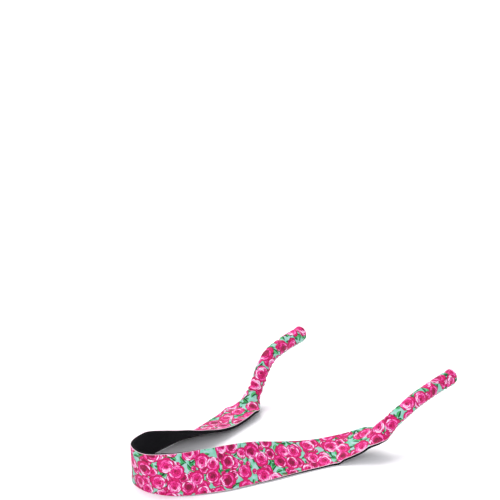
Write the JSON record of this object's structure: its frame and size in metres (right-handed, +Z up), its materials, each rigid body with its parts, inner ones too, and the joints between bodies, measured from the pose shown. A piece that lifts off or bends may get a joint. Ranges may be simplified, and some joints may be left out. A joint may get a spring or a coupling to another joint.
{
  "type": "eyeglass retainer strap",
  "caption": "Padded neoprene retainer strap for eyeglasses: a printed band round the back of the neck, with a rolled sleeve at each end for a temple.",
  "frame": {"origin": "on the table under the middle of the strap's box, with the strap standing on the lower edge of its back as an open loop", "axes": "+Z up from the table, +Y forward along the temples towards the glasses, out of the two sleeve mouths, and +X towards the wearer's right"},
  "size_m": [0.1709, 0.2473, 0.0454],
  "materials": {
    "printed_jersey": "matt polyester jersey with a dense print of pink roses and green leaves on a mint ground",
    "neoprene_foam": "black closed-cell foam, seen only at the cut edges",
    "black_jersey": "matt black polyester jersey",
    "seam_thread": "mint polyester sewing thread"
  },
  "bodies": {
    "right_sleeve": {"right_sleeve_core": "neoprene_foam", "right_sleeve_face": "printed_jersey", "right_sleeve_lining": "black_jersey", "right_seam_thread": "seam_thread", "right_mouth_backtack": "seam_thread", "right_neck_backtack": "seam_thread"},
    "right_band": {"right_band_core": "neoprene_foam", "right_band_face": "printed_jersey", "right_band_lining": "black_jersey"},
    "back": {"back_core": "neoprene_foam", "back_face": "printed_jersey", "back_lining": "black_jersey"},
    "left_band": {"left_band_core": "neoprene_foam", "left_band_face": "printed_jersey", "left_band_lining": "black_jersey"},
    "left_sleeve": {"left_sleeve_core": "neoprene_foam", "left_sleeve_face": "printed_jersey", "left_sleeve_lining": "black_jersey", "left_seam_thread": "seam_thread", "left_mouth_backtack": "seam_thread", "left_neck_backtack": "seam_thread"}
  },
  "joints": [
    {"name": "right_back_bend", "type": "hinge", "parent": "back", "child": "right_band", "pos_m": [-0.00805, -0.08603, 0.01608], "axis": [0.3355, -0.2488, -0.9086], "range_deg": [-15, 75], "stiffness_Nm_per_rad": 0.05},
    {"name": "left_back_bend", "type": "hinge", "parent": "back", "child": "left_band", "pos_m": [-0.07392, -0.06259, 0.01361], "axis": [0.6746, -0.0085, 0.7381], "range_deg": [-15, 75], "stiffness_Nm_per_rad": 0.05},
    {"name": "right_neck_bend", "type": "hinge", "parent": "right_band", "child": "right_sleeve", "pos_m": [0.05619, 0.02625, 0.01445], "axis": [0.6856, -0.7167, -0.1273], "range_deg": [-45, 60], "stiffness_Nm_per_rad": 0.03},
    {"name": "left_neck_bend", "type": "hinge", "parent": "left_band", "child": "left_sleeve", "pos_m": [-0.0653, 0.03198, 0.00492], "axis": [0.9906, 0.0129, 0.1365], "range_deg": [-45, 60], "stiffness_Nm_per_rad": 0.03}
  ]
}
